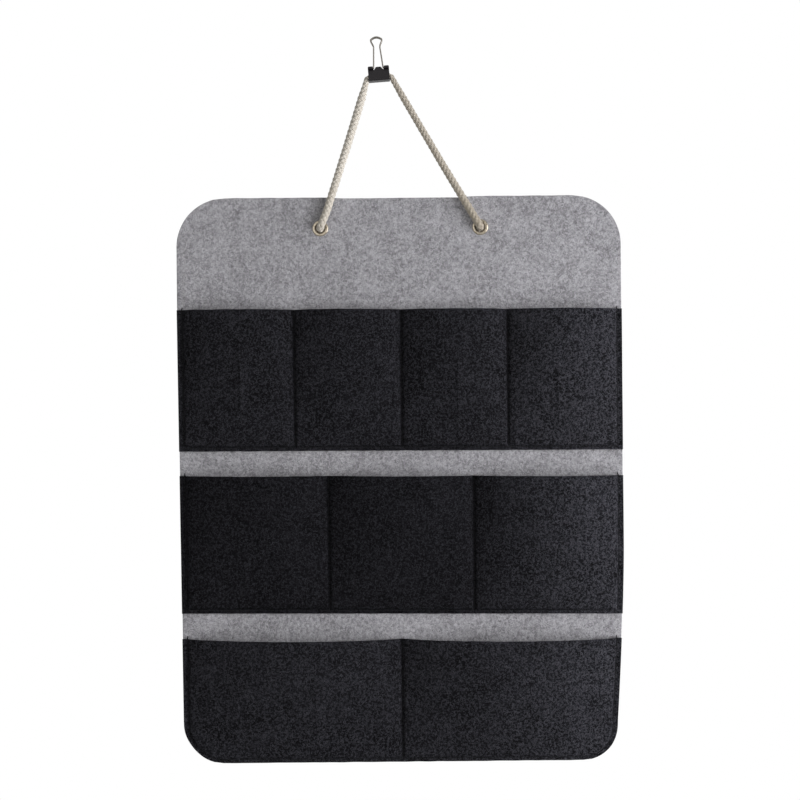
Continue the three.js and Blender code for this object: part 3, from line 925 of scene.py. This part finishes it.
def stitches(strip, line, out):
    """Separate stitches along a line of the flat layout, a few of them sewn back at its ends. out
    is the way that the felt faces, -1 for the front."""
    dense = spaced(line, 0.2 * MM)
    at = lengths_along(dense)
    count = int(at[-1] / STITCH_PITCH)
    pitch = at[-1] / count
    starts = [(k + 0.5) * pitch for k in range(count)]
    back = [(starts[k] + pitch * 0.45, 0.35 * MM) for k in (0, 1, count - 3, count - 2)]
    outwards = np.tile((0.0, float(out), 0.0), (len(STITCH_TAPER), 1))
    parts = Parts()
    for middle, aside in [(s, random.uniform(-0.08, 0.08) * MM) for s in starts] + back:
        reach = np.linspace(-0.5, 0.5, len(STITCH_TAPER)) * STITCH_LENGTH * random.uniform(0.92, 1.05)
        spots = np.stack([np.interp(middle + reach, at, dense[:, k]) for k in range(3)], 1)
        ahead = unit(np.gradient(spots, axis=0))
        spots[:, 0] += ahead[:, 2] * aside
        spots[:, 2] -= ahead[:, 0] * aside
        arc = np.clip(1 - (2 * reach / STITCH_LENGTH) ** 2, -0.3, 1)
        off_mouth = eased(spots[:, 2], strip.mouth - 0.3 * MM, strip.mouth + 1.2 * MM)
        x, z = strip.placed(spots[:, 0], spots[:, 2])
        y = seam_level(x, z, off_mouth, out) + out * (arc * STITCH_BOW - STITCH_SINK)
        points = np.stack([x, y, z], 1)
        parts.add(tube(points, STITCH_TAPER * 1.1, STITCH_TAPER * 0.85, outwards, 8))
    return parts


def add_seams(strip):
    seams = [(f"{strip.name}_edge_seam", edge_seam_line(strip))]
    for k, place in enumerate(strip.dividers, 1):
        seams.append((f"{strip.name}_divider_seam_{k}", divider_seam_line(strip, place)))
    for seam, line in seams:
        for node, out in ((seam, -1), (f"{seam}_bobbin", 1)):
            piece = stitches(strip, line, out).piece(f"{node}_stitches", "sewing_thread")
            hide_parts(node)
            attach(piece, "panel")


for strip in strips:
    add_seams(strip)


# Eyelets

EYELET_BORE = 4 * MM
EYELET_WALL = 0.4 * MM
EYELET_ROLL = 1 * MM  # how far the rolled end reaches over the washer
WASHER_EDGE = 0.25 * MM


def lathe(profile, sides, middle):
    """A closed ring turned about the Y axis through a point, from (radius, y) points."""
    turns = np.arange(sides) * 2 * math.pi / sides
    vertices = [
        (middle.x + r * math.cos(a), y, middle.z + r * math.sin(a)) for a in turns for r, y in profile
    ]
    rings = np.arange(len(vertices)).reshape(sides, -1).tolist()
    return vertices, joined([*rings, rings[0]])


def half_oval(start, end, base, rise, steps):
    """A rounded rim's section between two radii, rising from the plane y = base."""
    middle, half = (start + end) / 2, (start - end) / 2
    angles = [k * math.pi / steps for k in range(steps + 1)]
    return [(middle + half * math.cos(a), base + rise * math.sin(a)) for a in angles]


def add_eyelet(side):
    place = EYELETS[side]
    low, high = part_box(f"eyelet_{side}")
    washer_low, washer_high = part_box(f"eyelet_{side}_washer")
    front, rear = washer_low.y, washer_high.y
    barrel = EYELET_BORE + EYELET_WALL
    profile = [
        *half_oval(EYELET_BORE, (high.x - low.x) / 2, PANEL_FRONT, low.y - PANEL_FRONT, 18),
        (barrel + 0.4 * MM, PANEL_FRONT + 0.1 * MM),
        (barrel, PANEL_FRONT + 0.4 * MM),
        (barrel, rear),
        *half_oval(barrel + EYELET_ROLL, EYELET_BORE, rear, high.y - rear, 10),
    ]
    eyelet = add_mesh(f"eyelet_{side}_brass", *lathe(profile, 96, place), "eyelet_brass")
    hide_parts(f"eyelet_{side}")
    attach(eyelet, "panel")
    hole = barrel + 0.3 * MM
    rim = (washer_high.x - washer_low.x) / 2
    ring = [
        (hole, front), (rim - WASHER_EDGE, front), (rim, front + WASHER_EDGE),
        (rim - WASHER_EDGE * 0.3, rear - WASHER_EDGE * 0.4), (rim - WASHER_EDGE, rear), (hole, rear),
    ]
    washer = add_mesh(f"eyelet_{side}_washer_brass", *lathe(ring, 72, place), "eyelet_brass")
    washer.data.set_sharp_from_angle(angle=math.radians(50))
    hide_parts(f"eyelet_{side}_washer")
    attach(washer, "panel")


for side in SIDES:
    add_eyelet(side)


# Binder clip, drawn level about the hang point and then tilted

CLIP_TILT = 4  # degrees, its right end up
HANDLE_RISE = 27.4 * MM
JAW_HEIGHT = 12.1 * MM
WIRE_RADIUS = 0.6 * MM
CLIP_SHEET = 0.5 * MM
BORE_RADIUS = 0.9 * MM
LIP_RADIUS = BORE_RADIUS + CLIP_SHEET
LIP_GAP = 0.3 * MM
AXIS_Z = WIRE_RADIUS - HANDLE_RISE
AXIS_Y = LIP_GAP / 2 + LIP_RADIUS
FOOT_REACH = 8.3 * MM
LEG_HALF_GAP = 4.25 * MM
NECK_HALF_GAP = 2.75 * MM
NECK_HEIGHT = 19.2 * MM
HEAD_HALF_WIDTH = 5.3 * MM
HEAD_HEIGHT = 25 * MM
WIRE_BEND = 1 * MM


def tilted(points):
    turn = Matrix.Rotation(-math.radians(CLIP_TILT), 3, "Y")
    return [turn @ Vector(p) for p in points]


def arc_between(start, corner, end, shares):
    """Points on the curve from start to end that bends towards the corner."""
    return [(1 - t) ** 2 * start + 2 * t * (1 - t) * corner + t ** 2 * end for t in shares]


def bent(corners, reach, steps):
    """A line of corners with each inner corner rounded."""
    corners = [np.array(c, float) for c in corners]
    points = [corners[0]]
    for before, corner, after in zip(corners, corners[1:], corners[2:]):
        start = corner + (before - corner) * reach / np.linalg.norm(before - corner)
        end = corner + (after - corner) * reach / np.linalg.norm(after - corner)
        points.extend(arc_between(start, corner, end, np.linspace(0, 1, steps + 1)))
    points.append(corners[-1])
    return np.array(points)


def add_handle(name, side):
    stem = [(FOOT_REACH, 0), (LEG_HALF_GAP, 0), (NECK_HALF_GAP, NECK_HEIGHT)]
    shares = np.linspace(0, 1, 9)
    heights = arc_between(HEAD_HEIGHT, 2 * HANDLE_RISE - HEAD_HEIGHT, HEAD_HEIGHT, shares)
    head = list(zip(HEAD_HALF_WIDTH * (1 - 2 * shares), heights))
    outline = stem + head + [(-x, up) for x, up in reversed(stem)]
    line = bent([(x, side * AXIS_Y, AXIS_Z + up) for x, up in outline], WIRE_BEND * 0.99, 6)
    keep = np.diff(lengths_along(line), prepend=-1) > 0.02 * MM
    line = np.array(tilted(line[keep]))
    across, _ = frames_along(line)
    parts = Parts()
    parts.add(tube(line, WIRE_RADIUS, WIRE_RADIUS, across, 20))
    handle = parts.piece(f"clip_handle_{name}_wire", "nickel_wire")
    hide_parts(f"clip_handle_{name}")
    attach(handle, f"{name}_handle")


add_handle("front", -1)
add_handle("rear", 1)

SPINE_Z = AXIS_Z - JAW_HEIGHT
HALF_SPINE = 5.9 * MM
HALF_CLIP = 9.5 * MM
JAW_OFFSET = HALF_SPINE - AXIS_Y
JAW_LEAN = math.atan2(JAW_OFFSET, JAW_HEIGHT) + math.asin(BORE_RADIUS / math.hypot(JAW_OFFSET, JAW_HEIGHT))
SPINE_BEND = 2.1 * MM
LIP_TURN = math.radians(290)
LIP_STEPS = 22
LIP_ROUNDING = 2.1 * MM  # of the lips' outer ends
TONGUE_HEIGHT = 1.8 * MM
NOTCH_EDGES = ((4.1 * MM, 2.9 * MM), (4.3 * MM, 5.1 * MM))  # inner and outer, each below and above
NOTCH_DEPTH = 1.5 * MM  # below the place where the lip's roll starts
CLIP_STEP = 0.5 * MM
REGION_STEPS = 6  # grid steps across each of the sheet's six regions


def jaw_line():
    """The rear half of the sheet's middle line, from the spine up the jaw and round the lip: its
    places, the way ahead where the lip's roll starts, and that place's number."""
    middle_radius = BORE_RADIUS + CLIP_SHEET / 2
    axis = np.array((AXIS_Y, AXIS_Z))
    way = np.array((-math.sin(JAW_LEAN), math.cos(JAW_LEAN)))
    roll = axis - middle_radius * np.array((math.cos(JAW_LEAN), math.sin(JAW_LEAN)))
    base = SPINE_Z + CLIP_SHEET / 2
    corner = roll - way * (roll[1] - base) / way[1]
    flat = bent([(0, base), corner, roll], SPINE_BEND, 8)
    flat = spaced(np.column_stack([flat, np.zeros(len(flat))]), CLIP_STEP)[:, :2]
    turns = math.pi + JAW_LEAN - np.linspace(0, LIP_TURN, LIP_STEPS + 1)[1:]
    lip = axis + middle_radius * np.column_stack([np.cos(turns), np.sin(turns)])
    return np.vstack([flat, lip]), way, len(flat) - 1


def notch_edges(past):
    """The tongue's half width and the notch's outer edge, a distance past the roll's start."""
    share = eased(past, -NOTCH_DEPTH, 0.3 * MM)
    inner, outer = (mixed(*edge, share) for edge in NOTCH_EDGES)
    crown = np.clip(past / TONGUE_HEIGHT, 0, 0.995)
    return inner * math.sqrt(1 - crown ** 3), outer


def clip_row(place, past, way, start):
    """One row of the sheet across the clip. Past the roll's start its middle goes straight on as
    the tongue, while the rest follows the roll to place."""
    rolled = past > 0
    inner, outer = notch_edges(past)
    rise = np.clip((place[1] - AXIS_Z) / LIP_RADIUS, 0, 1) if rolled else 0
    half = HALF_CLIP - LIP_ROUNDING * (1 - math.sqrt(1 - rise ** 2))
    bounds = [-half, -outer, -inner, 0, inner, outer, half]
    shares = np.linspace(0, 1, REGION_STEPS + 1)[:-1]
    spots = [mixed(a, b, t) for a, b in zip(bounds, bounds[1:]) for t in shares] + [half]
    stem = start + way * past if rolled else place
    return [(x, *(stem if abs(x) <= inner + 1e-9 and rolled else place)) for x in spots]


def in_sheet(column, past, next_past):
    """Whether a grid face lies in the sheet: in no notch and not over the tongue."""
    region = column // REGION_STEPS
    in_notch = region in (1, 4) and (past + next_past) / 2 > -NOTCH_DEPTH
    over_tongue = region in (2, 3) and next_past > TONGUE_HEIGHT
    return not in_notch and not over_tongue


def clip_sheet():
    """Vertices and faces of the clip's middle surface, level."""
    line, way, roll = jaw_line()
    lengths = lengths_along(line)
    pasts = lengths - lengths[roll]
    columns = 6 * REGION_STEPS + 1
    vertices, faces = [], []
    for side in (-1, 1):
        start = len(vertices)
        for place, past in zip(line, pasts):
            vertices.extend((x, side * y, z) for x, y, z in clip_row(place, past, way, line[roll]))
        for k in range(len(line) - 1):
            for i in range(columns - 1):
                if in_sheet(i, pasts[k], pasts[k + 1]):
                    a = start + k * columns + i
                    faces.append((a, a + 1, a + columns + 1, a + columns))
    return vertices, faces


def add_clip_body():
    """The clip's bent sheet: its middle surface, tilted and given a thickness."""
    vertices, faces = clip_sheet()
    body = add_mesh("clip_body_sheet", tilted(vertices), faces, "black_clip_steel")
    with opened(body.data) as shape:
        bmesh.ops.delete(shape, geom=[v for v in shape.verts if not v.link_faces], context="VERTS")
        bmesh.ops.remove_doubles(shape, verts=shape.verts, dist=0.01 * MM)
        bmesh.ops.recalc_face_normals(shape, faces=shape.faces)
    body.data.shade_smooth()
    fitted(body.modifiers.new("thickness", "SOLIDIFY"), thickness=CLIP_SHEET, offset=0)
    edge = body.modifiers.new("edge", "BEVEL")
    fitted(edge, width=0.1 * MM, segments=2, limit_method="ANGLE", angle_limit=math.radians(50))
    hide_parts("clip_body")
    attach(body, "clip")


add_clip_body()


# Room: a pale floor under the part, soft lamps and a white surround

FLOOR_HALF = 8.0
FLOOR_Z = -0.9
FLOOR_GREY = 0.85
WHITE_FROM = (1.0, 1.15)  # how far away the floor turns white for the camera
SKY_LIGHT = 0.2  # how strongly the surround lights the part
PART_MIDDLE = (PANEL_MIDDLE, 0, -0.33)


def background_rays(shader):
    """1 for what the camera, a mirror or glass sees, and 0 for the light that falls."""
    rays = shader.node("ShaderNodeLightPath").outputs
    seen = shader.math("MAXIMUM", rays["Is Camera Ray"], rays["Is Glossy Ray"])
    return shader.math("MAXIMUM", seen, rays["Is Transmission Ray"])


def add_floor():
    mesh = bpy.data.meshes.new("floor")
    corners = ((-1, -1), (1, -1), (1, 1), (-1, 1))
    mesh.from_pydata([(x * FLOOR_HALF, y * FLOOR_HALF, FLOOR_Z) for x, y in corners], [], [(0, 1, 2, 3)])
    add_object("floor", mesh)
    shader = Shader("floor")
    mesh.materials.append(shader.owner)
    shader.set(shader.surface, Base_Color=(FLOOR_GREY, FLOOR_GREY, FLOOR_GREY, 1), Roughness=1)
    white = shader.node("ShaderNodeEmission", Strength=1.0)
    distance = shader.node("ShaderNodeVectorMath", Vector=shader.coordinates.outputs["Object"])
    far = shader.span(fitted(distance, operation="LENGTH").outputs["Value"], *WHITE_FROM)
    share = shader.times(far, background_rays(shader))
    blend = shader.node("ShaderNodeMixShader")
    for socket, output in zip(blend.inputs, (share, shader.surface.outputs[0], white.outputs[0])):
        shader.feed(socket, output)
    shader.set(shader.tree.nodes["Material Output"], Surface=blend.outputs[0])


def add_world():
    world = bpy.data.worlds.new("studio")
    bpy.context.scene.world = world
    shader = Shader("sky", world)
    level = shader.node("ShaderNodeMapRange", Value=background_rays(shader), To_Min=SKY_LIGHT)
    shader.set(shader.surface, Color=(1, 1, 1, 1), Strength=level.outputs["Result"])


def add_lamp(name, place, size, power, colour):
    """A round soft lamp that shines on the part's middle."""
    lamp = bpy.data.lights.new(name, "AREA")
    holder = add_object(name, fitted(lamp, color=colour, shape="DISK", size=size, energy=power))
    holder.location = place
    aim = Vector(PART_MIDDLE) - Vector(place)
    holder.rotation_euler = aim.to_track_quat("-Z", "Y").to_euler()


add_floor()
add_world()
add_lamp("key", place=(1.6, -0.8, -0.25), size=1.5, power=34, colour=(0.97, 0.965, 1))
add_lamp("fill", place=(-0.7, -2.0, 0.1), size=1.4, power=5.5, colour=(1, 0.985, 0.96))
add_lamp("back", place=(0.4, 1.8, 0.7), size=1.2, power=16, colour=(1, 1, 1))
bpy.context.scene.view_settings.view_transform = "Standard"
